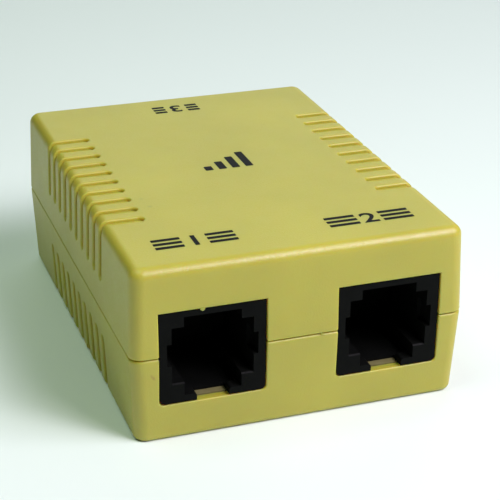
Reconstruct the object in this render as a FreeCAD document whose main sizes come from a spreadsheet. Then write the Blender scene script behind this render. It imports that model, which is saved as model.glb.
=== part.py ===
import FreeCAD, Part
import Sketcher
import math
import os
import re
from FreeCAD import Vector, Rotation, Placement

# Small beige line-filter box: two moulded shells with ribbed sides, two
# 6-position modular jacks on the front face, a third on the back face, and a
# filter circuit on one board inside. Millimetres, +Z up. The origin is the
# centre of the underside. -Y is the face with the two jacks.

doc = FreeCAD.newDocument("line_filter_box")
sheet = doc.addObject("Spreadsheet::Sheet", "Params")
sheet.Label = "Params"

DIMS = [
    # case
    ("case_width", 42.0), ("case_length", 57.2), ("case_height", 22.4),
    ("parting", 11.2), ("top_draft", 0.35), ("base_draft", 0.5),
    ("corner_round", 1.6), ("top_round", 1.3), ("base_round", 0.7),
    ("parting_gap", 0.16), ("parting_round", 0.12), ("parting_round_low", 0.28), ("mouth_round", 0.16),
    ("mouth_corner", 0.6),
    ("wall", 2.0), ("roof", 2.0), ("floor_thick", 1.9),
    ("lip_offset", 1.2), ("lip_height", 0.9), ("lip_gap", 0.1),
    # moulded side grooves
    ("groove_width", 1.3), ("groove_depth", 0.45), ("groove_inner", 15.2),
    ("groove_first", -13.9), ("groove_pitch", 3.14), ("groove_count", 10), ("groove_lip", 0.25),
    ("groove_upper_end", 15.05), ("groove_lower_end", 7.5),
    # jack windows and jacks
    ("jack_x", 11.07), ("jack_face", 28.25), ("jack_base", 4.85),
    ("jack_width", 13.0), ("jack_height", 11.85), ("jack_depth", 15.0),
    ("window_gap", 0.1), ("jack_round", 0.6),
    ("plug_width", 10.0), ("plug_low", 2.59), ("plug_high", 9.85),
    ("comb_width", 7.0), ("comb_low", 0.9), ("comb_high", 11.1),
    ("relief_width", 11.15), ("relief_low", 4.92), ("relief_high", 7.78),
    ("relief_depth", 2.5), ("cavity_depth", 11.5),
    ("slot_width", 4.0), ("slot_depth", 2.15), ("slot_round", 0.35),
    ("guide_bevel", 0.16), ("latch_width", 6.4), ("latch_front", 1.6), ("latch_low", 0.4),
    ("wire_groove", 0.6), ("wire_groove_low", 11.3), ("wire_slot_front", 2.8),
    ("wire_slot_back", 8.0),
    ("peg_radius", 1.3), ("peg_x", 4.8), ("peg_y", 8.0), ("peg_length", 1.9),
    # jack wires
    ("wire_radius", 0.23), ("wire_pitch", 1.02), ("wire_level", 11.56),
    ("wire_tail", -2.6), ("wire_back_outer", 14.75), ("wire_back_inner", 12.8),
    ("wire_bend", 0.4), ("wire_front", 3.6), ("wire_front_bend", 0.5),
    ("wire_slope", 28.0), ("wire_tip", 9.9),
    # board
    ("board_width", 36.6), ("board_length", 51.8), ("board_low", 3.25),
    ("board_thick", 1.6), ("tail_low", 2.25), ("wire_hole", 0.35),
    ("lead_hole", 0.4), ("peg_hole", 1.4), ("pin_hole", 1.2),
    ("tab_width", 11.6), ("tab_front", 27.1), ("tab_gap", 0.1),
    # posts of the lower shell
    ("post_radius", 2.2), ("pin_radius", 1.1), ("pin_top", 5.4),
    ("post_front_y", -21.0), ("post_rear_x", 14.0), ("post_rear_y", 22.5),
    ("pad_radius", 1.4), ("pad_x", 16.8), ("pad_front_y", -11.5), ("pad_rear_y", 10.5),
    # roof ribs over the jacks
    ("rib_width", 1.2), ("rib_length", 8.0), ("rib_low", 16.76), ("rib_start", 24.0),
    # snap hooks
    ("hook_width", 5.0), ("hook_front_y", -10.5), ("hook_rear_y", 8.5),
    ("hook_inner", 17.6), ("hook_outer", 18.7), ("hook_top", 13.8),
    ("hook_tip", 7.0), ("barb_out", 19.4), ("barb_low", 8.1), ("barb_high", 8.8),
    ("recess_out", 19.5), ("recess_low", 7.3), ("recess_high", 8.85),
    # chokes
    ("choke_x", 9.6), ("choke_y", -4.5), ("plate_width", 13.0), ("plate_length", 11.0),
    ("plate_thick", 1.2), ("flange_width", 9.6), ("flange_height", 9.4),
    ("flange_thick", 0.7), ("former_width", 4.4), ("former_height", 7.6),
    ("former_hole_width", 3.0), ("former_hole_height", 6.3), ("former_length", 9.0),
    ("core_width", 13.2), ("core_half", 6.1), ("core_back", 1.5), ("core_height", 6.0),
    ("core_leg", 1.6), ("core_centre", 2.8), ("coil_width", 8.8), ("coil_height", 9.0),
    ("coil_round", 1.6), ("coil_length", 3.35), ("coil_start", 0.4), ("coil_gap", 0.02),
    ("choke_pin", 0.32), ("choke_pin_x", 5.2), ("choke_pin_y", 4.4), ("choke_pin_in", 0.8),
    # capacitors
    ("cap_length", 7.2), ("cap_thick", 3.2), ("cap_height", 6.6), ("cap_lift", 0.4),
    ("cap_round", 0.4), ("lead_pitch", 5.0), ("lead_radius", 0.3),
    # resistors
    ("res_radius", 1.15), ("res_length", 5.0), ("res_lift", 0.3), ("res_pitch", 7.62),
    ("res_cap", 0.15), ("res_end", 1.1), ("res_bend", 0.6), ("res_lead", 0.29),
    # surge absorber
    ("disc_radius", 3.6), ("disc_thick", 3.4), ("disc_lift", 0.8), ("disc_round", 0.9),
    ("disc_x", -13.0), ("disc_y", 17.0), ("disc_lead_in", 3.0),
]
D = {}
for row, (alias, value) in enumerate(DIMS, 1):
    sheet.set("A%d" % row, alias)
    sheet.set("B%d" % row, "%g" % value)
    sheet.setAlias("B%d" % row, alias)
    D[alias] = float(value)
doc.recompute()


def ex(text):
    """Expression text with every alias pointed at the sheet."""
    return re.sub(r"[a-z][a-z_]*", lambda m: "Params." + m.group(0) if m.group(0) in D else m.group(0), str(text))


def bind(obj, prop, text):
    obj.setExpression(prop, ex(text))


def place(obj, x=None, y=None, z=None):
    for axis, text in (("x", x), ("y", y), ("z", z)):
        if text is not None:
            bind(obj, "Placement.Base." + axis, text)


def new_body(name):
    body = doc.addObject("PartDesign::Body", name)
    body.Label = name
    return body


def origin_plane(body, role):
    for item in body.Origin.OriginFeatures:
        if item.Role == role:
            return item
    raise RuntimeError("no plane " + role)


def new_sketch(body, name, role, offset=None):
    sk = body.newObject("Sketcher::SketchObject", name)
    sk.AttachmentSupport = [(origin_plane(body, role), "")]
    sk.MapMode = "FlatFace"
    if offset is not None:
        bind(sk, "AttachmentOffset.Base.z", offset)
    return sk


def dim(sk, kind, args, name, text, start=1.0):
    i = sk.addConstraint(Sketcher.Constraint(kind, *(tuple(args) + (start,))))
    sk.renameConstraint(i, name)
    sk.setExpression("Constraints." + name, ex(text))


def polygon(sk, pts, tag="v"):
    """Closed outline; pts is a list of (x, y) expression texts."""
    n0 = sk.GeometryCount
    n = len(pts)
    ring = [Vector(12 * math.cos(2 * math.pi * i / n + 0.3), 12 * math.sin(2 * math.pi * i / n + 0.3), 0) for i in range(n)]
    for i in range(n):
        sk.addGeometry(Part.LineSegment(ring[i], ring[(i + 1) % n]), False)
    for i in range(n):
        sk.addConstraint(Sketcher.Constraint("Coincident", n0 + i, 2, n0 + (i + 1) % n, 1))
    for i, (px, py) in enumerate(pts):
        dim(sk, "DistanceX", (-1, 1, n0 + i, 1), "%s%d_across" % (tag, i), px, ring[i].x)
        dim(sk, "DistanceY", (-1, 1, n0 + i, 1), "%s%d_along" % (tag, i), py, ring[i].y)


def circle(sk, cx, cy, radius, tag):
    g = sk.addGeometry(Part.Circle(Vector(1, 1, 0), Vector(0, 0, 1), 1.0), False)
    dim(sk, "DistanceX", (-1, 1, g, 3), tag + "_across", cx, 1.0)
    dim(sk, "DistanceY", (-1, 1, g, 3), tag + "_along", cy, 1.0)
    dim(sk, "Radius", (g,), tag + "_rad", radius, 1.0)


def pad(body, sk, length, name, reverse=False):
    f = body.newObject("PartDesign::Pad", name)
    f.Profile = sk
    bind(f, "Length", length)
    f.Reversed = reverse
    sk.Visibility = False
    return f


def prim(body, kind, name, x=None, y=None, z=None, **sizes):
    f = body.newObject("PartDesign::" + kind, name)
    for prop, text in sizes.items():
        bind(f, prop, text)
    place(f, x, y, z)
    return f


def box(body, name, x0, x1, y0, y1, z0, z1, cut=False):
    return prim(body, "SubtractiveBox" if cut else "AdditiveBox", name, x0, y0, z0,
                Length="(%s) - (%s)" % (x1, x0), Width="(%s) - (%s)" % (y1, y0), Height="(%s) - (%s)" % (z1, z0))


def rod(body, name, x, y, z0, z1, radius, cut=False):
    return prim(body, "SubtractiveCylinder" if cut else "AdditiveCylinder", name, x, y, z0,
                Radius=radius, Height="(%s) - (%s)" % (z1, z0))


def wedge(body, name, half_x0, half_y0, z0, half_x1, half_y1, z1, cut=False):
    """Drafted block between two centred rectangles at heights z0 and z1."""
    f = body.newObject("PartDesign::" + ("SubtractiveWedge" if cut else "AdditiveWedge"), name)
    for prop, text in (("Xmin", "-(%s)" % half_x0), ("Xmax", half_x0), ("Zmin", "-(%s)" % half_y0), ("Zmax", half_y0),
                       ("X2min", "-(%s)" % half_x1), ("X2max", half_x1), ("Z2min", "-(%s)" % half_y1), ("Z2max", half_y1),
                       ("Ymin", z0), ("Ymax", z1)):
        bind(f, prop, text)
    f.Placement = Placement(Vector(0, 0, 0), Rotation(Vector(1, 0, 0), 90))
    return f


def edges_of(feature, test):
    names = []
    for i, e in enumerate(feature.Shape.Edges, 1):
        if test(e):
            names.append("Edge%d" % i)
    return names


def along(e, axis):
    if e.Curve.TypeId != "Part::GeomLine":
        return False
    v = e.Vertexes[-1].Point - e.Vertexes[0].Point
    v.normalize()
    return abs(v.dot(axis)) > 0.99


def round_edges(body, base, names, radius, name):
    f = body.newObject("PartDesign::Fillet", name)
    f.Base = (base, names)
    bind(f, "Radius", radius)
    return f


def bevel_edges(body, base, names, size, name):
    f = body.newObject("PartDesign::Chamfer", name)
    f.Base = (base, names)
    bind(f, "Size", size)
    return f


def group(name, parts):
    """Several separate solids that share one node."""
    g = doc.addObject("Part::Compound", name)
    g.Label = name
    g.Links = parts
    return g


X, Y, Z = Vector(1, 0, 0), Vector(0, 1, 0), Vector(0, 0, 1)
NODES = []


# ---------------------------------------------------------------- shell skins

def skin(body, upper, inset, tag):
    """Outer form of one shell half, shrunk by inset on its sides and top."""
    hx, hy = "case_width / 2 - (%s)" % inset, "case_length / 2 - (%s)" % inset
    if upper:
        blk = wedge(body, tag + "_block", hx, hy, "parting + parting_gap / 2", hx + " - top_draft", hy + " - top_draft", "case_height - (%s)" % inset)
        far = D["case_height"]
        edge = "top_round"
    else:
        blk = wedge(body, tag + "_block", hx + " - base_draft", hy + " - base_draft", inset, hx, hy, "parting - parting_gap / 2")
        far = 0.0
        edge = "base_round"
    doc.recompute()
    corners = edges_of(blk, lambda e: abs(e.Vertexes[0].Z - e.Vertexes[-1].Z) > 2)
    f1 = round_edges(body, blk, corners, "corner_round - (%s) * 0.99" % inset, tag + "_corners")
    doc.recompute()
    zs = far - D["groove_depth"] * (1 if upper else -1) * (1 if inset != "0" else 0)
    rim = edges_of(f1, lambda e: all(abs(v.Z - zs) < 1e-4 for v in e.Vertexes))
    f2 = round_edges(body, f1, rim, "%s - (%s)" % (edge, inset), tag + "_edge")
    doc.recompute()
    if inset == "0":
        zr = D["parting"] + D["parting_gap"] / 2 * (1 if upper else -1)
        rim = edges_of(f2, lambda e: all(abs(v.Z - zr) < 1e-4 for v in e.Vertexes))
        f2 = round_edges(body, f2, rim, "parting_round" if upper else "parting_round_low", tag + "_parting_rim")
        doc.recompute()
    return f2


def slot_outline(sk, inner, outer, centre, sign):
    """Slot along the sketch's x axis, round at its inner end, open past outer."""
    w = D["groove_width"] / 2
    a, b = sign * (D[inner] + w), sign * outer
    c = D["groove_first"] if centre == "groove_first" else 0.0
    arc = Part.ArcOfCircle(Part.Circle(Vector(a, c, 0), Z, w), math.pi / 2, 3 * math.pi / 2) if sign > 0 else \
        Part.ArcOfCircle(Part.Circle(Vector(a, c, 0), Z, w), -math.pi / 2, math.pi / 2)
    g = sk.addGeometry(arc, False)
    # arc start and end points, then the three straight sides
    p_start = Vector(a, c + w, 0) if sign > 0 else Vector(a, c - w, 0)
    p_end = Vector(a, c - w, 0) if sign > 0 else Vector(a, c + w, 0)
    l1 = sk.addGeometry(Part.LineSegment(p_end, Vector(b, p_end.y, 0)), False)
    l2 = sk.addGeometry(Part.LineSegment(Vector(b, p_end.y, 0), Vector(b, p_start.y, 0)), False)
    l3 = sk.addGeometry(Part.LineSegment(Vector(b, p_start.y, 0), p_start), False)
    sk.addConstraint([
        Sketcher.Constraint("Tangent", g, 2, l1, 1), Sketcher.Constraint("Coincident", l1, 2, l2, 1),
        Sketcher.Constraint("Coincident", l2, 2, l3, 1), Sketcher.Constraint("Tangent", l3, 2, g, 1),
        Sketcher.Constraint("Horizontal", l1), Sketcher.Constraint("Vertical", l2)])
    dim(sk, "Radius", (g,), "half_width", "groove_width / 2", w)
    dim(sk, "DistanceX", (-1, 1, g, 3), "end_centre", "%d * (%s + groove_width / 2)" % (sign, inner), a)
    if centre == "groove_first":
        dim(sk, "DistanceY", (-1, 1, g, 3), "line_centre", "groove_first", c)
    else:
        sk.addConstraint(Sketcher.Constraint("PointOnObject", g, 3, -1))
    dim(sk, "DistanceX", (-1, 1, l2, 1), "open_end", "%g" % b, b)


def groove_comb(name, upper, sign):
    """Cutter for the ten grooves of one long side: a back bar outside the
    case joins ten slot-shaped teeth over the flat face and ten down the side."""
    body = new_body(name)
    x0, x1 = ("case_width / 2 + 0.8", "case_width / 2 + 1.6") if sign > 0 else ("-case_width / 2 - 1.6", "-case_width / 2 - 0.8")
    box(body, name + "_bar", x0, x1, "groove_first - 2", "groove_first + 9 * groove_pitch + 2",
        "groove_upper_end + 2" if upper else "-1.5", "case_height + 1.5" if upper else "groove_lower_end - 2")
    flat = new_sketch(body, name + "_flat_sketch", "XY_Plane", "case_height - 2.6" if upper else "-1.2")
    slot_outline(flat, "groove_inner", D["case_width"] / 2 + 1.2, "groove_first", sign)
    doc.recompute()
    teeth = pad(body, flat, "3.8", name + "_flat_teeth")
    # side teeth: drawn on the plane x = const, with sketch x along Y and sketch y along Z
    side = new_sketch(body, name + "_side_sketch", "YZ_Plane", "%d * (case_width / 2 - 2.6)" % sign)
    w = D["groove_width"] / 2
    c = D["groove_first"]
    if upper:
        a, b = D["groove_upper_end"] + w, D["case_height"] + 1.0
        arc = Part.ArcOfCircle(Part.Circle(Vector(c, a, 0), Z, w), math.pi, 2 * math.pi)
        p_start, p_end = Vector(c - w, a, 0), Vector(c + w, a, 0)
        end_text = "groove_upper_end + groove_width / 2"
        open_text = "case_height + 1"
    else:
        a, b = D["groove_lower_end"] - w, -1.0
        arc = Part.ArcOfCircle(Part.Circle(Vector(c, a, 0), Z, w), 0, math.pi)
        p_start, p_end = Vector(c + w, a, 0), Vector(c - w, a, 0)
        end_text = "groove_lower_end - groove_width / 2"
        open_text = "-1"
    g = side.addGeometry(arc, False)
    l1 = side.addGeometry(Part.LineSegment(p_end, Vector(p_end.x, b, 0)), False)
    l2 = side.addGeometry(Part.LineSegment(Vector(p_end.x, b, 0), Vector(p_start.x, b, 0)), False)
    l3 = side.addGeometry(Part.LineSegment(Vector(p_start.x, b, 0), p_start), False)
    side.addConstraint([
        Sketcher.Constraint("Tangent", g, 2, l1, 1), Sketcher.Constraint("Coincident", l1, 2, l2, 1),
        Sketcher.Constraint("Coincident", l2, 2, l3, 1), Sketcher.Constraint("Tangent", l3, 2, g, 1),
        Sketcher.Constraint("Vertical", l1), Sketcher.Constraint("Horizontal", l2)])
    dim(side, "Radius", (g,), "half_width", "groove_width / 2", w)
    dim(side, "DistanceX", (-1, 1, g, 3), "line_centre", "groove_first", c)
    dim(side, "DistanceY", (-1, 1, g, 3), "end_centre", end_text, a)
    dim(side, "DistanceY", (-1, 1, l2, 1), "open_end", open_text, b)
    doc.recompute()
    side_teeth = pad(body, side, "3.9", name + "_side_teeth", reverse=(sign < 0))
    doc.recompute()
    rows = body.newObject("PartDesign::LinearPattern", name + "_rows")
    rows.Originals = [teeth, side_teeth]
    rows.Direction = (flat, ["V_Axis"])
    bind(rows, "Length", "groove_pitch * (groove_count - 1)")
    bind(rows, "Occurrences", "groove_count")
    body.Tip = rows
    doc.recompute()
    return body


def combine(body, name, tool, kind):
    f = body.newObject("PartDesign::Boolean", name)
    f.setObjects([tool])
    f.Type = kind
    body.Tip = f
    doc.recompute()


def grooved_skin(body, tag, upper):
    """Outer form with slots cut deep, then filled again from inside by the
    same form shrunk by the groove's depth, so the depth is even round the edge."""
    outer = skin(body, upper, "0", tag)
    before = outer.Shape.Volume
    right = groove_comb(tag + "_comb_right", upper, 1)
    left = groove_comb(tag + "_comb_left", upper, -1)
    core = new_body(tag + "_groove_core")
    skin(core, upper, "groove_depth", tag + "_core")
    combine(body, tag + "_slots_right", right, "Cut")
    combine(body, tag + "_slots_left", left, "Cut")
    combine(body, tag + "_slot_floors", core, "Fuse")
    removed = before - body.Shape.Volume
    if not 90 < removed < 190:
        raise RuntimeError("grooves of %s remove %.1f" % (tag, removed))
    # the grooves' lips: edges that lie on the plain outer form but are none of its own
    shell, rims = outer.Shape.Shells[0], Part.makeCompound(outer.Shape.Edges)

    def lip(e):
        a, b = e.ParameterRange
        for k in (0.31, 0.57):
            v = Part.Vertex(e.valueAt(a + (b - a) * k))
            if v.distToShape(shell)[0] > 1e-4 or v.distToShape(rims)[0] < 1e-3:
                return False
        return True
    lips = edges_of(body.Tip, lip)
    round_edges(body, body.Tip, lips, "groove_lip", tag + "_groove_lips")
    doc.recompute()
    print(tag, "groove lips", len(lips))


def windows(body, tag, low, high):
    """Openings for the three jacks."""
    half = "jack_width / 2 + window_gap"
    for side in (-1, 1):
        box(body, "%s_window_%s" % (tag, "left" if side < 0 else "right"),
            "%d * jack_x - (%s)" % (side, half), "%d * jack_x + %s" % (side, half),
            "-case_length / 2 - 1", "-case_length / 2 + wall + 1.2", low, high, cut=True)
    last = box(body, tag + "_window_rear", "-(%s)" % half, half,
               "case_length / 2 - wall - 1.2", "case_length / 2 + 1", low, high, cut=True)
    doc.recompute()
    h = D["jack_width"] / 2 + D["window_gap"]
    sides = [k * D["jack_x"] + m * h for k in (-1, 1) for m in (-1, 1)] + [-h, h]
    level = D["jack_base"] + D["jack_height"] + D["window_gap"] if tag == "upper" else D["jack_base"] - D["window_gap"]

    if tag == "lower":
        corners = edges_of(last, lambda e: along(e, Y) and abs(e.Vertexes[0].Z - level) < 1e-3 and abs(e.Vertexes[-1].Z - level) < 1e-3
                           and min(abs(e.Vertexes[0].X - k) for k in sides) < 1e-3)
        if len(corners) != 6:
            raise RuntimeError("windows show %d lower corners" % len(corners))
        last = round_edges(body, last, corners, "mouth_corner", tag + "_window_corners")
        doc.recompute()

    def mouth(e):
        if e.Curve.TypeId != "Part::GeomLine" or e.Length < 2:
            return False
        a, b = e.Vertexes[0].Point, e.Vertexes[-1].Point
        if min(abs(a.y), abs(b.y)) < D["case_length"] / 2 - 0.6:
            return False
        if abs(a.z - level) < 1e-3 and abs(b.z - level) < 1e-3:
            return True
        return abs(a.x - b.x) < 1e-3 and min(abs(a.x - k) for k in sides) < 1e-3
    names = edges_of(last, mouth)
    if len(names) != 9:
        raise RuntimeError("%s windows show %d outer edges" % (tag, len(names)))
    round_edges(body, last, names, "mouth_round", tag + "_mouths")
    doc.recompute()


# ---------------------------------------------------------------- upper shell
upper = new_body("upper_shell")
grooved_skin(upper, "upper", True)
# tongue that stands below the parting line, inside the lower shell's rebate
box(upper, "upper_tongue", "-(case_width / 2 - lip_offset)", "case_width / 2 - lip_offset",
    "-(case_length / 2 - lip_offset)", "case_length / 2 - lip_offset", "parting - lip_height", "parting + 1")
wedge(upper, "upper_cavity", "case_width / 2 - wall", "case_length / 2 - wall", "parting - 1.5",
      "case_width / 2 - wall - top_draft", "case_length / 2 - wall - top_draft", "case_height - roof", cut=True)
windows(upper, "upper", "parting - 3", "jack_base + jack_height + window_gap")
# ribs that hold the jacks down
for tag, cx, y0, y1 in (("left", "-jack_x", "-rib_start", "-rib_start + rib_length"),
                        ("right", "jack_x", "-rib_start", "-rib_start + rib_length"),
                        ("rear", "0", "rib_start - rib_length", "rib_start")):
    box(upper, "rib_" + tag, "%s - rib_width / 2" % cx, "%s + rib_width / 2" % cx, y0, y1, "rib_low", "case_height - roof + 0.5")
# snap hooks: a leg down inside the lower wall with a barb facing out
for side in (-1, 1):
    for end in ("front", "rear"):
        nm = "hook_%s_%s" % ("left" if side < 0 else "right", end)
        sk = new_sketch(upper, nm + "_sketch", "XZ_Plane", "-hook_%s_y" % end)
        s = "%d * " % side
        polygon(sk, [(s + "(case_width / 2 - wall + 0.6)", "parting + 0.4"), (s + "(case_width / 2 - wall + 0.6)", "hook_top"),
                     (s + "hook_inner", "hook_top - 0.6"), (s + "hook_inner", "hook_tip"), (s + "(hook_outer - 0.3)", "hook_tip"),
                     (s + "barb_out", "barb_low"), (s + "barb_out", "barb_high"), (s + "hook_outer", "barb_high"),
                     (s + "hook_outer", "parting + 0.4")])
        doc.recompute()
        pad(upper, sk, "hook_width", nm, reverse=True)
doc.recompute()
NODES.append(upper)

# ---------------------------------------------------------------- lower shell
lower = new_body("lower_shell")
grooved_skin(lower, "lower", False)
wedge(lower, "lower_cavity", "case_width / 2 - wall - base_draft", "case_length / 2 - wall - base_draft", "floor_thick",
      "case_width / 2 - wall", "case_length / 2 - wall", "parting + 0.001", cut=True)
box(lower, "lower_rebate", "-(case_width / 2 - lip_offset + lip_gap)", "case_width / 2 - lip_offset + lip_gap",
    "-(case_length / 2 - lip_offset + lip_gap)", "case_length / 2 - lip_offset + lip_gap",
    "parting - lip_height", "parting + 1", cut=True)
windows(lower, "lower", "jack_base - window_gap", "parting + 2")
# notches behind the sills, where the board's tabs come forward
for tag, cx, s in (("left", "-jack_x", -1), ("right", "jack_x", -1), ("rear", "0", 1)):
    y0, y1 = ("-tab_front - tab_gap", "-board_length / 2 + 1") if s < 0 else ("board_length / 2 - 1", "tab_front + tab_gap")
    box(lower, "notch_" + tag, "%s - tab_width / 2 - tab_gap" % cx, "%s + tab_width / 2 + tab_gap" % cx, y0, y1,
        "board_low - tab_gap", "jack_base", cut=True)
for side in (-1, 1):
    for end in ("front", "rear"):
        nm = "recess_%s_%s" % ("left" if side < 0 else "right", end)
        x0, x1 = ("18", "recess_out") if side > 0 else ("-recess_out", "-18")
        box(lower, nm, x0, x1, "hook_%s_y - 0.3" % end, "hook_%s_y + hook_width + 0.3" % end, "recess_low", "recess_high", cut=True)
for nm, px, py in (("front", "0", "post_front_y"), ("rear_left", "-post_rear_x", "post_rear_y"), ("rear_right", "post_rear_x", "post_rear_y")):
    rod(lower, "post_" + nm, px, py, "floor_thick - 0.5", "board_low", "post_radius")
    rod(lower, "pin_" + nm, px, py, "board_low - 0.5", "pin_top", "pin_radius")
for side in (-1, 1):
    for end in ("front", "rear"):
        rod(lower, "rest_%s_%s" % ("left" if side < 0 else "right", end), "%d * pad_x" % side, "pad_%s_y" % end,
            "floor_thick - 0.5", "board_low", "pad_radius")
doc.recompute()
NODES.append(lower)

# ---------------------------------------------------------------- jacks
JACKS = (("left_jack", "-jack_x", "-jack_face", 0), ("right_jack", "jack_x", "-jack_face", 0), ("rear_jack", "0", "jack_face", 180))


def set_in_case(body, jx, jy, turn):
    body.Placement = Placement(Vector(0, 0, 0), Rotation(Z, turn))
    place(body, jx, jy, "jack_base")


def wire_x(n):
    return (n - 1.5) * D["wire_pitch"]


def wire_x_text(n):
    return "%g * wire_pitch" % (n - 1.5)


for jack, jx, jy, turn in JACKS:
    b = new_body(jack + "_housing")
    blk = box(b, jack + "_block", "-jack_width / 2", "jack_width / 2", "0", "jack_depth", "0", "jack_height")
    doc.recompute()
    low = edges_of(blk, lambda e: along(e, Y) and abs(e.Vertexes[0].Z) < 1e-6)
    round_edges(b, blk, low, "jack_round", jack + "_low_edges")
    box(b, jack + "_comb", "-comb_width / 2", "comb_width / 2", "-1", "cavity_depth", "comb_low", "comb_high", cut=True)
    box(b, jack + "_plug", "-plug_width / 2", "plug_width / 2", "-1", "cavity_depth", "plug_low", "plug_high", cut=True)
    box(b, jack + "_relief", "-relief_width / 2", "relief_width / 2", "-1", "relief_depth", "relief_low", "relief_high", cut=True)
    box(b, jack + "_latch", "-latch_width / 2", "latch_width / 2", "latch_front", "cavity_depth", "latch_low", "comb_low + 0.5", cut=True)
    slot = box(b, jack + "_slot", "-slot_width / 2", "slot_width / 2", "-1", "slot_depth", "-1", "comb_low + 0.5", cut=True)
    doc.recompute()
    lips = edges_of(slot, lambda e: along(e, Y) and abs(abs(e.Vertexes[0].X) - D["slot_width"] / 2) < 1e-4
                    and max(v.Y for v in e.Vertexes) < D["latch_front"] + 1e-3 and e.Vertexes[0].Z < D["comb_low"] + 1e-3
                    and abs(e.Vertexes[0].Z - D["comb_low"]) < 1e-3)
    last = round_edges(b, slot, lips, "slot_round", jack + "_lips")
    doc.recompute()
    guide = edges_of(last, lambda e: along(e, X) and abs(e.Vertexes[0].Y) < 1e-4 and abs(e.Vertexes[0].Z - D["plug_low"]) < 1e-3)
    bevel_edges(b, last, guide, "guide_bevel", jack + "_guides")
    for n in range(4):
        outer = n in (0, 3)
        x0, x1 = wire_x_text(n) + " - wire_groove / 2", wire_x_text(n) + " + wire_groove / 2"
        back = "jack_depth + 1" if outer else "wire_back_inner + wire_groove / 2"
        box(b, "%s_top_groove_%d" % (jack, n), x0, x1, "wire_slot_front", back, "wire_groove_low", "jack_height + 1", cut=True)
        box(b, "%s_top_slot_%d" % (jack, n), x0, x1, "wire_slot_front", "wire_slot_back", "comb_high - 0.5", "jack_height + 1", cut=True)
        if outer:
            box(b, "%s_back_groove_%d" % (jack, n), x0, x1, "wire_back_outer - wire_groove / 2", "jack_depth + 1", "-1", "jack_height + 1", cut=True)
        else:
            box(b, "%s_drop_%d" % (jack, n), x0, x1, "wire_back_inner - wire_groove / 2", "wire_back_inner + wire_groove / 2", "-1", "jack_height + 1", cut=True)
    for s in (-1, 1):
        rod(b, "%s_peg_%s" % (jack, "a" if s < 0 else "b"), "%d * peg_x" % s, "peg_y", "-peg_length", "0.5", "peg_radius")
    doc.recompute()
    set_in_case(b, jx, jy, turn)
    NODES.append(b)

    # spring wires: up the back, forward along the top, then bent back down into the cavity
    for n in range(4):
        outer = n in (0, 3)
        back = "wire_back_outer" if outer else "wire_back_inner"
        w = new_body("%s_contact_%d" % (jack, n + 1))
        path = new_sketch(w, "%s_wire_path_%d" % (jack, n), "YZ_Plane", wire_x_text(n))
        yb, zt, zl = D[back], D["wire_tail"], D["wire_level"]
        r1, r2, yf = D["wire_bend"], D["wire_front_bend"], D["wire_front"]
        sl = math.radians(D["wire_slope"])
        end = 1.5 * math.pi - sl
        c2 = Vector(yf, zl - r2, 0)
        p2 = c2 + Vector(r2 * math.cos(end), r2 * math.sin(end), 0)
        run = (D["wire_tip"] - p2.x) / math.cos(sl)
        p3 = p2 + Vector(run * math.cos(sl), -run * math.sin(sl), 0)
        g0 = path.addGeometry(Part.LineSegment(Vector(yb, zt, 0), Vector(yb, zl - r1, 0)), False)
        g1 = path.addGeometry(Part.ArcOfCircle(Part.Circle(Vector(yb - r1, zl - r1, 0), Z, r1), 0, math.pi / 2), False)
        g2 = path.addGeometry(Part.LineSegment(Vector(yb - r1, zl, 0), Vector(yf, zl, 0)), False)
        g3 = path.addGeometry(Part.ArcOfCircle(Part.Circle(c2, Z, r2), math.pi / 2, end), False)
        g4 = path.addGeometry(Part.LineSegment(p2, p3), False)
        path.addConstraint([
            Sketcher.Constraint("Tangent", g0, 2, g1, 1), Sketcher.Constraint("Tangent", g1, 2, g2, 1),
            Sketcher.Constraint("Tangent", g2, 2, g3, 1), Sketcher.Constraint("Tangent", g3, 2, g4, 1),
            Sketcher.Constraint("Vertical", g0), Sketcher.Constraint("Horizontal", g2)])
        dim(path, "DistanceX", (-1, 1, g0, 1), "back", back, yb)
        dim(path, "DistanceY", (-1, 1, g0, 1), "tail", "wire_tail", zt)
        dim(path, "DistanceY", (-1, 1, g2, 1), "level", "wire_level", zl)
        dim(path, "Radius", (g1,), "bend", "wire_bend", r1)
        dim(path, "Radius", (g3,), "front_bend", "wire_front_bend", r2)
        dim(path, "DistanceX", (-1, 1, g3, 3), "front", "wire_front", yf)
        dim(path, "DistanceX", (-1, 1, g4, 2), "tip", "wire_tip", D["wire_tip"])
        dim(path, "DistanceY", (-1, 1, g4, 2), "tip_level",
            "wire_level - wire_front_bend - wire_front_bend * cos(wire_slope * 1deg) - (wire_tip - wire_front + wire_front_bend * sin(wire_slope * 1deg)) * tan(wire_slope * 1deg)", p3.y)
        ring = new_sketch(w, "%s_wire_ring_%d" % (jack, n), "XY_Plane", "wire_tail")
        circle(ring, wire_x_text(n), back, "wire_radius", "wire")
        doc.recompute()
        pipe = w.newObject("PartDesign::AdditivePipe", "%s_wire_%d" % (jack, n))
        pipe.Profile = ring
        pipe.Spine = (path, [])
        doc.recompute()
        set_in_case(w, jx, jy, turn)
        NODES.append(w)

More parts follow.
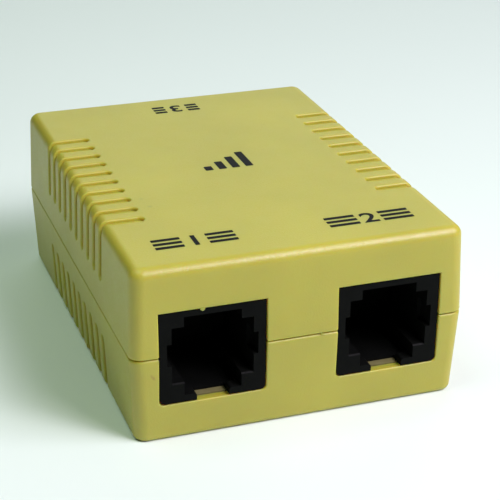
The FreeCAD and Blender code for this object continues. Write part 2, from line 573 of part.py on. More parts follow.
# ---------------------------------------------------------------- chokes
TOP = "(board_low + board_thick)"
CZ = "(plate_thick + flange_height / 2)"
for side, sx in (("left", -1), ("right", 1)):
    at = ("%d * choke_x" % sx, "choke_y", TOP)
    b = new_body(side + "_choke_bobbin")
    box(b, side + "_plate", "-plate_width / 2", "plate_width / 2", "-plate_length / 2", "plate_length / 2", "0", "plate_thick")
    for tag, y0, y1 in (("front", "-former_length / 2", "-former_length / 2 + flange_thick"),
                        ("middle", "-flange_thick / 2", "flange_thick / 2"),
                        ("rear", "former_length / 2 - flange_thick", "former_length / 2")):
        box(b, "%s_flange_%s" % (side, tag), "-flange_width / 2", "flange_width / 2", y0, y1, "plate_thick - 0.3", "plate_thick + flange_height")
    box(b, side + "_former", "-former_width / 2", "former_width / 2", "-former_length / 2", "former_length / 2",
        CZ + " - former_height / 2", CZ + " + former_height / 2")
    box(b, side + "_bore", "-former_hole_width / 2", "former_hole_width / 2", "-former_length", "former_length",
        CZ + " - former_hole_height / 2", CZ + " + former_hole_height / 2", cut=True)
    for i, (px, py) in enumerate(((-1, -1), (1, -1), (-1, 1), (1, 1))):
        rod(b, "%s_socket_%d" % (side, i), "%d * choke_pin_x" % px, "%d * choke_pin_y" % py, "-1", "choke_pin_in", "choke_pin + 0.01", cut=True)
    place(b, *at)
    NODES.append(b)
    for tag, s in (("front", -1), ("rear", 1)):
        c = new_body("%s_choke_core_%s" % (side, tag))
        sk = new_sketch(c, "%s_core_%s_sketch" % (side, tag), "XY_Plane", CZ + " - core_height / 2")
        k = "%d * " % s
        polygon(sk, [("-core_width / 2", k + "core_half"), ("core_width / 2", k + "core_half"), ("core_width / 2", "0"),
                     ("core_width / 2 - core_leg", "0"), ("core_width / 2 - core_leg", k + "(core_half - core_back)"),
                     ("core_centre / 2", k + "(core_half - core_back)"), ("core_centre / 2", "0"), ("-core_centre / 2", "0"),
                     ("-core_centre / 2", k + "(core_half - core_back)"), ("-(core_width / 2 - core_leg)", k + "(core_half - core_back)"),
                     ("-(core_width / 2 - core_leg)", "0"), ("-core_width / 2", "0")])
        doc.recompute()
        pad(c, sk, "core_height", "%s_core_%s_block" % (side, tag))
        place(c, *at)
        NODES.append(c)
        v = new_body("%s_choke_winding_%s" % (side, tag))
        y0, y1 = ("-coil_start - coil_length", "-coil_start") if s < 0 else ("coil_start", "coil_start + coil_length")
        coil = box(v, "%s_coil_%s" % (side, tag), "-coil_width / 2", "coil_width / 2", y0, y1, CZ + " - coil_height / 2", CZ + " + coil_height / 2")
        doc.recompute()
        long_edges = edges_of(coil, lambda e: along(e, Y))
        round_edges(v, coil, long_edges, "coil_round", "%s_coil_%s_round" % (side, tag))
        box(v, "%s_coil_%s_hole" % (side, tag), "-former_width / 2 - coil_gap", "former_width / 2 + coil_gap", "-9", "9",
            CZ + " - former_height / 2 - coil_gap", CZ + " + former_height / 2 + coil_gap", cut=True)
        place(v, *at)
        NODES.append(v)
    pins = []
    for i, (px, py) in enumerate(((-1, -1), (1, -1), (-1, 1), (1, 1))):
        p = doc.addObject("Part::Cylinder", "%s_choke_pin_%d" % (side, i + 1))
        bind(p, "Radius", "choke_pin")
        bind(p, "Height", TOP + " + choke_pin_in - tail_low")
        place(p, "%d * choke_x + %d * choke_pin_x" % (sx, px), "choke_y + %d * choke_pin_y" % py, "tail_low")
        pins.append(p)
    NODES.append(group(side + "_choke_pins", pins))

# ---------------------------------------------------------------- capacitors
CAPS = (("capacitor_1", 0.0, -15.5, 90), ("capacitor_2", 0.0, -4.0, 90), ("capacitor_3", -11.0, 6.5, 0), ("capacitor_4", 11.0, 6.5, 0))
for name, cx, cy, turn in CAPS:
    b = new_body(name + "_body")
    blk = box(b, name + "_block", "-cap_length / 2", "cap_length / 2", "-cap_thick / 2", "cap_thick / 2", "0", "cap_height")
    doc.recompute()
    upright = edges_of(blk, lambda e: along(e, Z) or all(abs(v.Z - D["cap_height"]) < 1e-6 for v in e.Vertexes))
    round_edges(b, blk, upright, "cap_round", name + "_round")
    b.Placement = Placement(Vector(0, 0, 0), Rotation(Z, turn))
    place(b, "%g" % cx, "%g" % cy, TOP + " + cap_lift")
    NODES.append(b)
    leads = []
    for i, s in enumerate((-1, 1)):
        p = doc.addObject("Part::Cylinder", "%s_lead_%d" % (name, i + 1))
        bind(p, "Radius", "lead_radius")
        bind(p, "Height", TOP + " + cap_lift - tail_low")
        if turn:
            place(p, "%g" % cx, "%g + %d * lead_pitch / 2" % (cy, s), "tail_low")
        else:
            place(p, "%g + %d * lead_pitch / 2" % (cx, s), "%g" % cy, "tail_low")
        leads.append(p)
    NODES.append(group(name + "_leads", leads))

# ---------------------------------------------------------------- resistors
RES = (("resistor_1", 13.0, 17.0), ("resistor_2", 0.0, 9.8))
for name, cx, cy in RES:
    axis_z = TOP + " + res_lift + res_radius"
    b = new_body(name + "_body")
    sk = new_sketch(b, name + "_profile", "XZ_Plane")
    # half section of the coated body, thicker over its end caps
    polygon(sk, [("-res_length / 2", "0"), ("-res_length / 2", "res_radius - 0.1"), ("-res_length / 2 + 0.1", "res_radius"),
                 ("-res_length / 2 + res_end", "res_radius"), ("-res_length / 2 + res_end + 0.3", "res_radius - res_cap"),
                 ("res_length / 2 - res_end - 0.3", "res_radius - res_cap"), ("res_length / 2 - res_end", "res_radius"),
                 ("res_length / 2 - 0.1", "res_radius"), ("res_length / 2", "res_radius - 0.1"), ("res_length / 2", "0")])
    doc.recompute()
    rev = b.newObject("PartDesign::Revolution", name + "_turned")
    rev.Profile = sk
    rev.ReferenceAxis = (sk, ["H_Axis"])
    rev.Angle = 360
    place(b, "%g" % cx, "%g" % cy, axis_z)
    NODES.append(b)
    leads = []
    for i, s in enumerate((-1, 1)):
        w = new_body("%s_lead_%d" % (name, i + 1))
        path = new_sketch(w, "%s_lead_path_%d" % (name, i), "XZ_Plane")
        x0, x1 = s * D["res_length"] / 2, s * D["res_pitch"] / 2
        zb = D["tail_low"] - (D["board_low"] + D["board_thick"] + D["res_lift"] + D["res_radius"])
        r = D["res_bend"]
        g0 = path.addGeometry(Part.LineSegment(Vector(x0, 0, 0), Vector(x1 - s * r, 0, 0)), False)
        c = Vector(x1 - s * r, -r, 0)
        if s > 0:
            g1 = path.addGeometry(Part.ArcOfCircle(Part.Circle(c, Z, r), 0, math.pi / 2), False)
            first, last_pt = 2, 1
        else:
            g1 = path.addGeometry(Part.ArcOfCircle(Part.Circle(c, Z, r), math.pi / 2, math.pi), False)
            first, last_pt = 1, 2
        g2 = path.addGeometry(Part.LineSegment(Vector(x1, -r, 0), Vector(x1, zb, 0)), False)
        path.addConstraint([
            Sketcher.Constraint("Tangent", g0, 2, g1, first), Sketcher.Constraint("Tangent", g1, last_pt, g2, 1),
            Sketcher.Constraint("PointOnObject", g0, 1, -1), Sketcher.Constraint("Horizontal", g0), Sketcher.Constraint("Vertical", g2)])
        dim(path, "DistanceX", (-1, 1, g0, 1), "root", "%d * res_length / 2" % s, x0)
        dim(path, "DistanceX", (-1, 1, g2, 2), "drop", "%d * res_pitch / 2" % s, x1)
        dim(path, "DistanceY", (-1, 1, g2, 2), "tail", "tail_low - (%s)" % axis_z, zb)
        dim(path, "Radius", (g1,), "bend", "res_bend", r)
        ring = new_sketch(w, "%s_lead_ring_%d" % (name, i), "YZ_Plane", "%d * res_length / 2" % s)
        circle(ring, "0", "0", "res_lead", "wire")
        doc.recompute()
        pipe = w.newObject("PartDesign::AdditivePipe", "%s_lead_wire_%d" % (name, i))
        pipe.Profile = ring
        pipe.Spine = (path, [])
        doc.recompute()
        place(w, "%g" % cx, "%g" % cy, axis_z)
        leads.append(w)
    NODES.append(group(name + "_leads", leads))

# ---------------------------------------------------------------- surge absorber
b = new_body("surge_absorber_body")
disc = b.newObject("PartDesign::AdditiveCylinder", "disc")
bind(disc, "Radius", "disc_radius")
bind(disc, "Height", "disc_thick")
disc.Placement = Placement(Vector(0, D["disc_thick"] / 2, 0), Rotation(X, 90))
bind(disc, "Placement.Base.y", "disc_thick / 2")
doc.recompute()
rims = edges_of(disc, lambda e: e.Curve.TypeId == "Part::GeomCircle")
round_edges(b, disc, rims, "disc_round", "disc_rims")
for i, s in enumerate((-1, 1)):
    rod(b, "disc_lead_hole_%d" % i, "%d * lead_pitch / 2" % s, "0", "-disc_radius - 1", "-disc_radius + disc_lead_in", "lead_radius + 0.01", cut=True)
place(b, "disc_x", "disc_y", TOP + " + disc_lift + disc_radius")
NODES.append(b)
leads = []
for i, s in enumerate((-1, 1)):
    p = doc.addObject("Part::Cylinder", "surge_absorber_lead_%d" % (i + 1))
    bind(p, "Radius", "lead_radius")
    bind(p, "Height", TOP + " + disc_lift + disc_lead_in - tail_low")
    place(p, "disc_x + %d * lead_pitch / 2" % s, "disc_y", "tail_low")
    leads.append(p)
NODES.append(group("surge_absorber_leads", leads))

# ---------------------------------------------------------------- board
board = new_body("circuit_board")
sk = new_sketch(board, "board_outline", "XY_Plane", "board_low")
F, B = "-board_length / 2", "board_length / 2"
polygon(sk, [("-board_width / 2", F), ("-jack_x - tab_width / 2", F), ("-jack_x - tab_width / 2", "-tab_front"),
             ("-jack_x + tab_width / 2", "-tab_front"), ("-jack_x + tab_width / 2", F),
             ("jack_x - tab_width / 2", F), ("jack_x - tab_width / 2", "-tab_front"), ("jack_x + tab_width / 2", "-tab_front"),
             ("jack_x + tab_width / 2", F), ("board_width / 2", F), ("board_width / 2", B),
             ("tab_width / 2", B), ("tab_width / 2", "tab_front"), ("-tab_width / 2", "tab_front"), ("-tab_width / 2", B),
             ("-board_width / 2", B)])
doc.recompute()
pad(board, sk, "board_thick", "board_blank")
holes = []
for jack, jx, jy, turn in JACKS:
    s = -1 if turn else 1
    for n in range(4):
        back = "wire_back_outer" if n in (0, 3) else "wire_back_inner"
        holes.append(("%s + %d * (%s)" % (jx, s, wire_x_text(n)), "%s + %d * %s" % (jy, s, back), "wire_hole"))
    for k in (-1, 1):
        holes.append(("%s + %d * peg_x" % (jx, k), "%s + %d * peg_y" % (jy, s), "peg_hole"))
for sx in (-1, 1):
    for px, py in ((-1, -1), (1, -1), (-1, 1), (1, 1)):
        holes.append(("%d * choke_x + %d * choke_pin_x" % (sx, px), "choke_y + %d * choke_pin_y" % py, "lead_hole"))
for name, cx, cy, turn in CAPS:
    for s in (-1, 1):
        if turn:
            holes.append(("%g" % cx, "%g + %d * lead_pitch / 2" % (cy, s), "lead_hole"))
        else:
            holes.append(("%g + %d * lead_pitch / 2" % (cx, s), "%g" % cy, "lead_hole"))
for name, cx, cy in RES:
    for s in (-1, 1):
        holes.append(("%g + %d * res_pitch / 2" % (cx, s), "%g" % cy, "lead_hole"))
for s in (-1, 1):
    holes.append(("disc_x + %d * lead_pitch / 2" % s, "disc_y", "lead_hole"))
holes.append(("0", "post_front_y", "pin_hole"))
holes.append(("-post_rear_x", "post_rear_y", "pin_hole"))
holes.append(("post_rear_x", "post_rear_y", "pin_hole"))
sk = new_sketch(board, "board_drilling", "XY_Plane", "board_low - 1")
for i, (hx, hy, hr) in enumerate(holes):
    circle(sk, hx, hy, hr, "hole%d" % i)
doc.recompute()
drill = board.newObject("PartDesign::Pocket", "board_holes")
drill.Profile = sk
bind(drill, "Length", "board_thick + 2")
drill.Reversed = True
doc.recompute()
NODES.append(board)

# ---------------------------------------------------------------- checks and files
doc.recompute()
for obj in doc.Objects:
    bad = [s for s in obj.State if s in ("Invalid", "Error")]
    if bad:
        raise RuntimeError("%s is %s" % (obj.Name, bad))
os.makedirs("parts", exist_ok=True)
names = set()
for node in NODES:
    shape = node.Shape
    if shape.isNull() or not shape.isValid() or not shape.Solids:
        raise RuntimeError("bad shape in " + node.Label)
    if node.Label in names or len(node.Label) >= 60:
        raise RuntimeError("bad name " + node.Label)
    names.add(node.Label)
if len(names) > 60:
    raise RuntimeError("too many nodes")
blank = doc.getObject("board_blank").Shape.Volume
if not 60 < blank - drill.Shape.Volume < 120:
    raise RuntimeError("the board's holes take %.1f" % (blank - drill.Shape.Volume))
for node in NODES:
    node.Shape.exportStep("parts/%s.step" % node.Label)
    bb = node.Shape.BoundBox
    print("%-28s solids %d volume %9.2f  x %7.2f %7.2f  y %7.2f %7.2f  z %6.2f %6.2f" % (
        node.Label, len(node.Shape.Solids), node.Shape.Volume, bb.XMin, bb.XMax, bb.YMin, bb.YMax, bb.ZMin, bb.ZMax))
print("nodes", len(NODES))
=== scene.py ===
import bpy, bmesh, math
from mathutils import Matrix, Vector


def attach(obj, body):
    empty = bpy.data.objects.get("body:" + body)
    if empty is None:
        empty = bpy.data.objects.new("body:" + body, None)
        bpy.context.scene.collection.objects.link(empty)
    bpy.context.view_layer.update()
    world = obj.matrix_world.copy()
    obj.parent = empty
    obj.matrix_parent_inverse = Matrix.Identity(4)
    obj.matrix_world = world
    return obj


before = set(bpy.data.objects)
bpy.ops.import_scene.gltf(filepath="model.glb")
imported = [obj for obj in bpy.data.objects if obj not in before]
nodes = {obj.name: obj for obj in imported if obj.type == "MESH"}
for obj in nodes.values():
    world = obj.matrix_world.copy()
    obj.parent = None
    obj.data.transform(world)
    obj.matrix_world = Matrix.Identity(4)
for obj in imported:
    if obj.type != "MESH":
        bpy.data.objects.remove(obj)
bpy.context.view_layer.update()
scene = bpy.context.scene
MM = 0.001

# ---------------------------------------------------------------- camera
yaw, pitch, roll = math.radians(19.3655), math.radians(24.7081), math.radians(0.5006)
look = Vector((math.sin(yaw) * math.cos(pitch), math.cos(yaw) * math.cos(pitch), -math.sin(pitch)))
side = Vector((math.cos(yaw), -math.sin(yaw), 0.0))
up = side.cross(look)
right = side * math.cos(roll) + up * math.sin(roll)
top = up * math.cos(roll) - side * math.sin(roll)
eye = Vector((-0.0583185, -0.1752414, 0.0949528))
cam_data = bpy.data.cameras.new("camera")
cam_data.sensor_width = 36.0
cam_data.lens = 1509.7235 * 36.0 / 500.0
cam_data.clip_start, cam_data.clip_end = 0.005, 20.0
cam = bpy.data.objects.new("camera", cam_data)
scene.collection.objects.link(cam)
cam.matrix_world = Matrix((
    (right.x, top.x, -look.x, eye.x),
    (right.y, top.y, -look.y, eye.y),
    (right.z, top.z, -look.z, eye.z),
    (0, 0, 0, 1)))
scene.camera = cam
scene.view_settings.view_transform = "Standard"
scene.view_settings.look = "None"
scene.view_settings.exposure = 0.0
scene.view_settings.gamma = 1.0

# ---------------------------------------------------------------- node helpers


class Mat:
    """A material with a Principled shader and short calls for its nodes."""

    def __init__(self, name, colour, rough, **sockets):
        self.m = bpy.data.materials.new(name)
        self.m.use_nodes = True
        self.t = self.m.node_tree
        self.b = self.t.nodes["Principled BSDF"]
        self.b.inputs["Base Color"].default_value = (*colour, 1.0)
        self.b.inputs["Roughness"].default_value = rough
        for k, v in sockets.items():
            self.b.inputs[k.replace("_", " ")].default_value = v
        self.m.diffuse_color = (*colour, 1.0)
        self.co = self.t.nodes.new("ShaderNodeTexCoord").outputs["Object"]

    def node(self, kind, **props):
        n = self.t.nodes.new(kind)
        for k, v in props.items():
            setattr(n, k, v)
        return n

    def link(self, a, b):
        self.t.links.new(a, b)

    def mapped(self, scale=(1, 1, 1), turn=(0, 0, 0), shift=(0, 0, 0)):
        n = self.node("ShaderNodeMapping")
        n.inputs["Scale"].default_value = scale
        n.inputs["Rotation"].default_value = turn
        n.inputs["Location"].default_value = shift
        self.link(self.co, n.inputs["Vector"])
        return n.outputs["Vector"]

    def noise(self, scale, detail=3.0, rough=0.55, vec=None, distortion=0.0):
        n = self.node("ShaderNodeTexNoise")
        n.inputs["Scale"].default_value = scale
        n.inputs["Detail"].default_value = detail
        n.inputs["Roughness"].default_value = rough
        n.inputs["Distortion"].default_value = distortion
        self.link(vec if vec is not None else self.co, n.inputs["Vector"])
        return n.outputs["Fac"]

    def voronoi(self, scale, vec=None, feature="F1", out="Distance"):
        n = self.node("ShaderNodeTexVoronoi", feature=feature)
        n.inputs["Scale"].default_value = scale
        self.link(vec if vec is not None else self.co, n.inputs["Vector"])
        return n.outputs[out]

    def span(self, value, a, b, c=0.0, d=1.0, smooth=False):
        n = self.node("ShaderNodeMapRange", clamp=True)
        if smooth:
            n.interpolation_type = "SMOOTHSTEP"
        n.inputs["From Min"].default_value = a
        n.inputs["From Max"].default_value = b
        n.inputs["To Min"].default_value = c
        n.inputs["To Max"].default_value = d
        self.link(value, n.inputs["Value"])
        return n.outputs["Result"]

    def math(self, op, a, b=None):
        n = self.node("ShaderNodeMath", operation=op)
        for i, v in enumerate((a, b)):
            if v is None:
                continue
            if isinstance(v, (int, float)):
                n.inputs[i].default_value = v
            else:
                self.link(v, n.inputs[i])
        return n.outputs[0]

    def mix(self, fac, a, b):
        n = self.node("ShaderNodeMix", data_type="RGBA")
        for key, v in (("Factor", fac), ("A", a), ("B", b)):
            sock = [s for s in n.inputs if s.name == key and (s.type == "RGBA" if key in "AB" else s.type == "VALUE")][0]
            if isinstance(v, tuple):
                sock.default_value = (*v, 1.0)
            elif isinstance(v, (int, float)):
                sock.default_value = v
            else:
                self.link(v, sock)
        return [s for s in n.outputs if s.type == "RGBA"][0]

    def bump(self, height, strength, distance, after=None):
        n = self.node("ShaderNodeBump")
        n.inputs["Strength"].default_value = strength
        n.inputs["Distance"].default_value = distance
        self.link(height, n.inputs["Height"])
        if after is not None:
            self.link(after, n.inputs["Normal"])
        return n.outputs["Normal"]

    def axis(self, name):
        n = self.node("ShaderNodeSeparateXYZ")
        self.link(self.co, n.inputs[0])
        return n.outputs[name]

    def colour(self, value):
        self.link(value, self.b.inputs["Base Color"])

    def rough(self, value):
        self.link(value, self.b.inputs["Roughness"])

    def normal(self, value):
        self.link(value, self.b.inputs["Normal"])


def dress(names, mat):
    for n in names:
        o = nodes[n]
        o.data.materials.clear()
        o.data.materials.append(mat.m)


# ---------------------------------------------------------------- materials
def apart(m, point, radius, soft, stretch=(1, 1, 1), turn=0.0):
    """1 inside a small soft-edged patch about a point of the surface, 0 away from it."""
    s = m.node("ShaderNodeVectorMath", operation="SUBTRACT")
    m.link(m.co, s.inputs[0])
    s.inputs[1].default_value = [c * MM for c in point]
    r = m.node("ShaderNodeVectorRotate", rotation_type="EULER_XYZ")
    r.inputs["Rotation"].default_value = (0.0, turn, 0.0) if stretch[1] == 1 else (0.0, 0.0, turn)
    m.link(s.outputs[0], r.inputs["Vector"])
    q = m.node("ShaderNodeVectorMath", operation="MULTIPLY")
    m.link(r.outputs[0], q.inputs[0])
    q.inputs[1].default_value = stretch
    d = m.node("ShaderNodeVectorMath", operation="LENGTH")
    m.link(q.outputs[0], d.inputs[0])
    return m.span(d.outputs["Value"], radius * MM, (radius + soft) * MM, 1.0, 0.0, True)


def beige(name, tint):
    m = Mat(name, tint, 0.44, IOR=1.49, Specular_IOR_Level=0.68, Subsurface_Weight=0.7, Subsurface_Radius=(1.0, 0.52, 0.16), Subsurface_Scale=0.0026)
    broad = m.noise(70.0, 2.0)
    cloud = m.noise(420.0, 2.0)
    fine = m.noise(4600.0, 2.0, 0.6)
    pale = tuple(c * 1.04 for c in tint)
    deep = tuple(c * 0.955 for c in tint)
    base = m.mix(m.span(broad, 0.35, 0.65), deep, pale)
    base = m.mix(m.span(fine, 0.25, 0.75, 0.0, 0.03), base, tuple(c * 0.80 for c in tint))
    m.rough(m.math("ADD", m.span(fine, 0.3, 0.7, 0.37, 0.49), m.span(cloud, 0.3, 0.7, -0.02, 0.02)))
    grain = m.bump(fine, 0.85, 0.000030)
    m.normal(m.bump(cloud, 0.035, 0.00016, grain))
    return m, base


TINT = (0.417, 0.392, 0.044)
upper, base = beige("beige_plastic_upper", TINT)
for point, radius, soft, weight, tone in (((-13.5, -10.6, 22.4), 0.05, 0.40, 0.34, (0.20, 0.23, 0.06)),
                                          ((-13.9, -8.0, 22.4), 0.04, 0.45, 0.22, (0.20, 0.24, 0.06)),
                                          ((-15.6, -14.9, 22.4), 0.02, 0.25, 0.20, (0.20, 0.23, 0.06)),
                                          ((6.2, 3.4, 22.4), 0.02, 0.28, 0.14, (0.22, 0.22, 0.06)),
                                          ((9.4, 12.7, 22.4), 0.02, 0.34, 0.12, (0.22, 0.22, 0.06))):
    base = upper.mix(upper.math("MULTIPLY", apart(upper, point, radius, soft), weight), base, tone)
upper.colour(base)
dress(["upper_shell"], upper)

lower, base = beige("beige_plastic_lower", TINT)
scuff = apart(lower, (-18.45, -28.5, 8.85), 0.10, 0.42, (1.9, 1.0, 0.75), 0.62)
scuff = lower.math("MULTIPLY", scuff, lower.span(lower.noise(3400.0, 3.0), 0.34, 0.62, 0.35, 0.85))
base = lower.mix(lower.math("MULTIPLY", scuff, 0.62), base, (0.25, 0.13, 0.030))
lower.colour(base)
dress(["lower_shell"], lower)

black = Mat("black_plastic", (0.0040, 0.0045, 0.0040), 0.46, IOR=1.5, Specular_IOR_Level=0.03)
f = black.noise(4200.0, 3.0)
cloud = black.noise(500.0, 2.0)
black.colour(black.mix(black.span(cloud, 0.35, 0.65), (0.0036, 0.0041, 0.0036), (0.0047, 0.0052, 0.0047)))
black.rough(black.span(f, 0.3, 0.7, 0.34, 0.50))
black.normal(black.bump(f, 0.20, 0.00003))
dress([n for n in nodes if n.endswith("_housing")], black)

gold = Mat("contact_gold", (0.83, 0.60, 0.24), 0.25, Metallic=1.0)
gold.rough(gold.span(gold.noise(2500.0), 0.3, 0.7, 0.18, 0.34))
gold.colour(gold.mix(gold.span(gold.noise(900.0), 0.35, 0.65), (0.78, 0.55, 0.20), (0.86, 0.64, 0.28)))
dress([n for n in nodes if "_contact_" in n], gold)

# Board colour: a brown phenolic tone that is partly painted shade, darkened so the board edge seen through the latch
# slots reads as the shade there.
laminate = Mat("laminate", (0.17, 0.155, 0.06), 0.55)
laminate.colour(laminate.mix(laminate.span(laminate.noise(1500.0, 4.0), 0.35, 0.65), (0.155, 0.140, 0.052), (0.185, 0.170, 0.068)))
laminate.normal(laminate.bump(laminate.noise(3000.0), 0.2, 0.00004))
dress(["circuit_board"], laminate)

ferrite = Mat("ferrite", (0.035, 0.035, 0.038), 0.6)
ferrite.colour(ferrite.mix(ferrite.span(ferrite.noise(1400.0, 5.0), 0.35, 0.65), (0.025, 0.025, 0.028), (0.055, 0.055, 0.058)))
ferrite.normal(ferrite.bump(ferrite.noise(2400.0, 4.0), 0.4, 0.00006))
dress([n for n in nodes if "_core_" in n], ferrite)

copper = Mat("enamelled_copper", (0.50, 0.17, 0.05), 0.28, Metallic=0.7)
turns = copper.node("ShaderNodeTexWave", bands_direction="Y")
turns.inputs["Scale"].default_value = 1600.0
copper.link(copper.co, turns.inputs["Vector"])
copper.normal(copper.bump(turns.outputs["Fac"], 0.6, 0.0001))
dress([n for n in nodes if "_winding_" in n], copper)

tinned = Mat("tinned_wire", (0.72, 0.73, 0.74), 0.3, Metallic=1.0)
tinned.rough(tinned.span(tinned.noise(2500.0), 0.3, 0.7, 0.22, 0.42))
dress([n for n in nodes if n.endswith("_leads") or n.endswith("_pins")], tinned)

nylon = Mat("bobbin_plastic", (0.80, 0.78, 0.70), 0.45)
nylon.normal(nylon.bump(nylon.noise(1500.0), 0.15, 0.00004))
dress([n for n in nodes if n.endswith("_bobbin")], nylon)

film = Mat("film_capacitor", (0.55, 0.045, 0.025), 0.3)
film.normal(film.bump(film.noise(600.0), 0.3, 0.0001))
dress(["capacitor_%d_body" % i for i in (1, 2, 3, 4)], film)

lacquer = Mat("resistor_coating", (0.16, 0.33, 0.52), 0.35)
lacquer.normal(lacquer.bump(lacquer.noise(900.0), 0.2, 0.00006))
dress(["resistor_1_body", "resistor_2_body"], lacquer)

epoxy = Mat("absorber_coating", (0.04, 0.11, 0.38), 0.3)
epoxy.normal(epoxy.bump(epoxy.noise(700.0), 0.3, 0.0001))
dress(["surge_absorber_body"], epoxy)

ink = Mat("print_ink", (0.006, 0.0065, 0.006), 0.46, IOR=1.48, Specular_IOR_Level=0.03)
f = ink.noise(5200.0, 3.0)
ink.colour(ink.mix(ink.span(f, 0.3, 0.7), (0.0065, 0.0065, 0.0075), (0.012, 0.012, 0.013)))
ink.rough(ink.span(f, 0.3, 0.7, 0.36, 0.5))
ink.normal(ink.bump(f, 0.25, 0.00002))


# ---------------------------------------------------------------- small pieces
def finish_mesh(name, bm, mat):
    bmesh.ops.remove_doubles(bm, verts=bm.verts, dist=1e-7)
    bmesh.ops.recalc_face_normals(bm, faces=bm.faces)
    me = bpy.data.meshes.new(name)
    bm.to_mesh(me)
    bm.free()
    o = bpy.data.objects.new(name, me)
    scene.collection.objects.link(o)
    me.materials.append(mat.m)
    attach(o, "root")
    return o


TOP, INK = 22.4, 0.022      # top face's level and the print's thickness, mm


def slab(bm, corners, z0, z1):
    """A closed plate on a ring of (x, y) corners, in mm."""
    low = [bm.verts.new((x * MM, y * MM, z0 * MM)) for x, y in corners]
    high = [bm.verts.new((x * MM, y * MM, z1 * MM)) for x, y in corners]
    bm.faces.new(low[::-1])
    bm.faces.new(high)
    n = len(corners)
    for i in range(n):
        bm.faces.new((low[i], low[(i + 1) % n], high[(i + 1) % n], high[i]))


def pill(x0, y0, x1, y1, r, steps=4):
    """Corners of a bar with rounded ends' corners."""
    out = []
    for cx, cy, a in ((x1 - r, y1 - r, 0), (x0 + r, y1 - r, 90), (x0 + r, y0 + r, 180), (x1 - r, y0 + r, 270)):
        for i in range(steps + 1):
            t = math.radians(a + 90.0 * i / steps)
            out.append((cx + r * math.cos(t), cy + r * math.sin(t)))
    return out


def numeral(bm, digit, cx, cy, high):
    """A plain numeral of the given height, centred at cx, cy."""
    cu = bpy.data.curves.new("numeral", "FONT")
    cu.body = digit
    cu.size = 1.0
    cu.offset = 0.016
    cu.extrude = 0.5
    cu.resolution_u = 6
    ob = bpy.data.objects.new("numeral", cu)
    scene.collection.objects.link(ob)
    bpy.context.view_layer.update()
    me = bpy.data.meshes.new_from_object(ob.evaluated_get(bpy.context.evaluated_depsgraph_get()))
    lo = [min(v.co[i] for v in me.vertices) for i in range(3)]
    hi = [max(v.co[i] for v in me.vertices) for i in range(3)]
    k = high / (hi[1] - lo[1])
    kx = k * 1.12
    for v in me.vertices:
        v.co = (((v.co.x - (lo[0] + hi[0]) / 2) * kx + cx) * MM, ((v.co.y - (lo[1] + hi[1]) / 2) * k + cy) * MM,
                (TOP - 0.006 + (v.co.z - lo[2]) / (hi[2] - lo[2]) * (INK + 0.006)) * MM)
    bm.from_mesh(me)
    bpy.data.objects.remove(ob)
    bpy.data.curves.remove(cu)
    bpy.data.meshes.remove(me)


def label(name, digit, cx, cy, wide, high, turned=False):
    """A numeral between two stacks of three bars."""
    bm = bmesh.new()
    numeral(bm, digit, 0.0, 0.0, high)
    gap = 1.55
    bar = 0.60
    for s in (-1, 1):
        x0, x1 = sorted((s * gap, s * wide / 2))
        for j in (-1, 0, 1):
            y = j * (high - bar) / 2
            slab(bm, pill(x0, y - bar / 2, x1, y + bar / 2, 0.10), TOP - 0.006, TOP + INK)
    turn = Matrix.Rotation(math.pi if turned else 0.0, 4, "Z")
    bm.transform(Matrix.Translation((cx * MM, cy * MM, 0)) @ turn)
    return finish_mesh(name, bm, ink)


label("print_front_left", "1", -11.25, -21.85, 10.1, 2.75)
label("print_front_right", "2", 10.7, -22.05, 10.9, 2.75)
label("print_rear", "3", -0.2, 22.9, 6.6, 2.6, True)

bm = bmesh.new()
for i in range(4):
    x = -3.35 + i * 1.82
    slab(bm, pill(x, -1.5, x + 1.05, -0.15 + 1.28 * i, 0.14), TOP - 0.006, TOP + INK)
finish_mesh("print_middle", bm, ink)


def sliver(name, rings, mat):
    """A small shred of plastic lofted through rings of (x, y, z) corners in mm."""
    bm = bmesh.new()
    rows = [[bm.verts.new([c * MM for c in p]) for p in ring] for ring in rings]
    n = len(rows[0])
    bm.faces.new(rows[0][::-1])
    bm.faces.new(rows[-1])
    for a, b in zip(rows, rows[1:]):
        for i in range(n):
            bm.faces.new((a[i], a[(i + 1) % n], b[(i + 1) % n], b[i]))
    bmesh.ops.recalc_face_normals(bm, faces=bm.faces)
    bmesh.ops.bevel(bm, geom=list(bm.edges), offset=0.018 * MM, segments=2, affect="EDGES", profile=0.6)
    return finish_mesh(name, bm, mat)


def ring(cx, z, half, y0, y1, lean=0.0):
    return [(cx - half, y0, z - lean), (cx + half, y0, z + lean), (cx + half, y1, z + lean), (cx - half, y1, z - lean)]


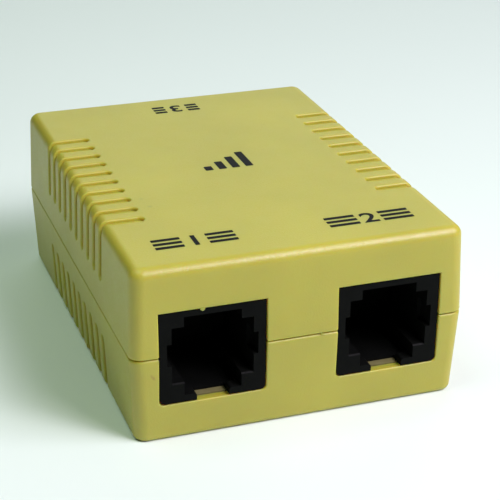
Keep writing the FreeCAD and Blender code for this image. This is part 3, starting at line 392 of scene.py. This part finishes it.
# moulding flash: a nib on the left window's top edge, and a shred across the parting line
sliver("flash_window", [ring(-12.36, 16.84, 0.30, -28.46, -28.28), ring(-12.37, 16.68, 0.25, -28.455, -28.27),
                        ring(-12.34, 16.50, 0.09, -28.42, -28.29)], upper)
sliver("flash_parting", [ring(2.17, 11.42, 0.10, -28.615, -28.45), ring(2.34, 11.22, 0.11, -28.64, -28.42),
                         ring(2.56, 10.98, 0.16, -28.625, -28.44)], upper)

# ---------------------------------------------------------------- stage
bm = bmesh.new()
bmesh.ops.create_grid(bm, x_segments=8, y_segments=8, size=1.6)
me = bpy.data.meshes.new("floor")
bm.to_mesh(me)
bm.free()
floor = bpy.data.objects.new("floor", me)
scene.collection.objects.link(floor)
ground = Mat("floor", (0.774, 0.872, 0.820), 0.6)
ground.colour(ground.mix(ground.noise(14.0, 2.0), (0.766, 0.864, 0.812), (0.782, 0.880, 0.828)))
floor.data.materials.append(ground.m)

world = bpy.data.worlds.new("studio")
scene.world = world
world.use_nodes = True
world.node_tree.nodes["Background"].inputs["Color"].default_value = (0.90, 1.0, 0.94, 1.0)
world.node_tree.nodes["Background"].inputs["Strength"].default_value = 0.006


def area(name, az, el, power, colour, size=0.3, far=0.6):
    """A square light aimed at the object; az 0 is +X and 90 is the front."""
    a, e = math.radians(az), math.radians(el)
    at = Vector((math.cos(a) * math.cos(e), -math.sin(a) * math.cos(e), math.sin(e))) * far
    d = bpy.data.lights.new(name, "AREA")
    d.shape = "SQUARE"
    d.size = size
    d.energy = power
    d.color = colour
    o = bpy.data.objects.new(name, d)
    o.location = at
    o.rotation_mode = "QUATERNION"
    o.rotation_quaternion = (-at).to_track_quat("-Z", "Y")
    scene.collection.objects.link(o)
    return o


KEY, NEAR, REAR, FILL = (0.970, 0.875, 1.060), (1.010, 0.920, 0.980), (0.975, 1.070, 1.030), (0.945, 1.130, 0.900)
area("key_front", 40, 47, 2.66, KEY)
area("key_near", 62, 47, 0.43, NEAR, 0.10, 0.30)
area("rear_right", 295, 30, 0.74, REAR, 0.5)
area("fill_left", 180, 70, 1.15, FILL)
